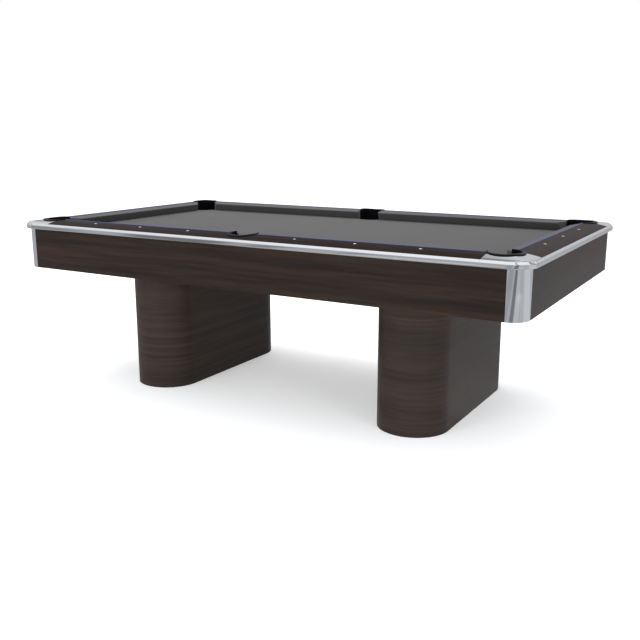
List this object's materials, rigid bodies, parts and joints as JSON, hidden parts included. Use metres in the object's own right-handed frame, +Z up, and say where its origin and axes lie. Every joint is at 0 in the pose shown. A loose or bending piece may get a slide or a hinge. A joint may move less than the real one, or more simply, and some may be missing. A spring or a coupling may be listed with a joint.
{
  "type": "pool table",
  "caption": "Pool table on rounded pedestals, with a dark timber cabinet, bright metal corners and trim, slate bed, cloth-covered cushions and drop pockets.",
  "frame": {"origin": "on the floor under the centre of the table", "axes": "+X along the table's length, +Y across it away from the front side, +Z up"},
  "size_m": [2.5712, 1.4536, 0.84],
  "materials": {
    "dark_timber": "very dark brown figured veneer, semi-gloss lacquer",
    "frame_plywood": "bare plywood and softwood, matt",
    "chrome": "bright polished chrome plate on cast and extruded metal",
    "slate": null,
    "bed_cloth": "charcoal grey worsted pool cloth, matt",
    "cushion_cloth": "charcoal grey pool cloth over rubber, matt",
    "pocket_liner": "glossy black moulding",
    "pocket_basket": "satin black moulding",
    "feather_strip": "thin blue cloth strip",
    "sight_pearl": "polished off-white inlay",
    "zinc_steel": "bright zinc-plated steel"
  },
  "bodies": {
    "table": {"pedestal_left_shell": "dark_timber", "pedestal_right_shell": "dark_timber", "rail_front": "dark_timber", "rail_back": "dark_timber", "rail_left": "dark_timber", "rail_right": "dark_timber", "panel_front": "dark_timber", "panel_back": "dark_timber", "panel_left": "dark_timber", "panel_right": "dark_timber", "pedestal_left_base_plate": "frame_plywood", "pedestal_right_base_plate": "frame_plywood", "pedestal_left_top_plate": "frame_plywood", "pedestal_right_top_plate": "frame_plywood", "stringer_front": "frame_plywood", "stringer_back": "frame_plywood", "cross_beam_left": "frame_plywood", "cross_beam_centre": "frame_plywood", "cross_beam_right": "frame_plywood", "trim_front": "chrome", "trim_back": "chrome", "trim_left": "chrome", "trim_right": "chrome", "corner_casting_front_left": "chrome", "corner_casting_front_right": "chrome", "corner_casting_back_left": "chrome", "corner_casting_back_right": "chrome", "slate_left": "slate", "slate_centre": "slate", "slate_right": "slate", "bed_cloth": "bed_cloth", "cushion_front_left": "cushion_cloth", "cushion_front_right": "cushion_cloth", "cushion_back_left": "cushion_cloth", "cushion_back_right": "cushion_cloth", "cushion_left": "cushion_cloth", "cushion_right": "cushion_cloth", "pocket_liner_front_left": "pocket_liner", "pocket_liner_front_right": "pocket_liner", "pocket_liner_back_left": "pocket_liner", "pocket_liner_back_right": "pocket_liner", "pocket_liner_front_centre": "pocket_liner", "pocket_liner_back_centre": "pocket_liner", "pocket_basket_front_left": "pocket_basket", "pocket_basket_front_right": "pocket_basket", "pocket_basket_back_left": "pocket_basket", "pocket_basket_back_right": "pocket_basket", "pocket_basket_front_centre": "pocket_basket", "pocket_basket_back_centre": "pocket_basket"},
    "foot_left_front": {"leveler_foot_left_front": "zinc_steel"},
    "stem_left_front": {"leveler_stem_left_front": "zinc_steel"},
    "foot_left_back": {"leveler_foot_left_back": "zinc_steel"},
    "stem_left_back": {"leveler_stem_left_back": "zinc_steel"},
    "foot_right_front": {"leveler_foot_right_front": "zinc_steel"},
    "stem_right_front": {"leveler_stem_right_front": "zinc_steel"},
    "foot_right_back": {"leveler_foot_right_back": "zinc_steel"},
    "stem_right_back": {"leveler_stem_right_back": "zinc_steel"}
  },
  "joints": [
    {"name": "leveler_left_front_slide", "type": "slide", "parent": "table", "child": "foot_left_front", "axis": [0, 0, -1], "range_m": [0, 0.016]},
    {"name": "leveler_left_front_turn", "type": "hinge", "parent": "foot_left_front", "child": "stem_left_front", "pos_m": [-0.69, -0.3, 0.05], "axis": [0, 0, -1], "range_deg": [0, 2881]},
    {"name": "leveler_left_back_slide", "type": "slide", "parent": "table", "child": "foot_left_back", "axis": [0, 0, -1], "range_m": [0, 0.016]},
    {"name": "leveler_left_back_turn", "type": "hinge", "parent": "foot_left_back", "child": "stem_left_back", "pos_m": [-0.69, 0.3, 0.05], "axis": [0, 0, -1], "range_deg": [0, 2881]},
    {"name": "leveler_right_front_slide", "type": "slide", "parent": "table", "child": "foot_right_front", "axis": [0, 0, -1], "range_m": [0, 0.016]},
    {"name": "leveler_right_front_turn", "type": "hinge", "parent": "foot_right_front", "child": "stem_right_front", "pos_m": [0.69, -0.3, 0.05], "axis": [0, 0, -1], "range_deg": [0, 2881]},
    {"name": "leveler_right_back_slide", "type": "slide", "parent": "table", "child": "foot_right_back", "axis": [0, 0, -1], "range_m": [0, 0.016]},
    {"name": "leveler_right_back_turn", "type": "hinge", "parent": "foot_right_back", "child": "stem_right_back", "pos_m": [0.69, 0.3, 0.05], "axis": [0, 0, -1], "range_deg": [0, 2881]}
  ],
  "couplings": [
    {"joint": "leveler_left_front_turn", "follows": "leveler_left_front_slide", "rad_per_m": 3141.6},
    {"joint": "leveler_left_back_turn", "follows": "leveler_left_back_slide", "rad_per_m": 3141.6},
    {"joint": "leveler_right_front_turn", "follows": "leveler_right_front_slide", "rad_per_m": 3141.6},
    {"joint": "leveler_right_back_turn", "follows": "leveler_right_back_slide", "rad_per_m": 3141.6}
  ]
}
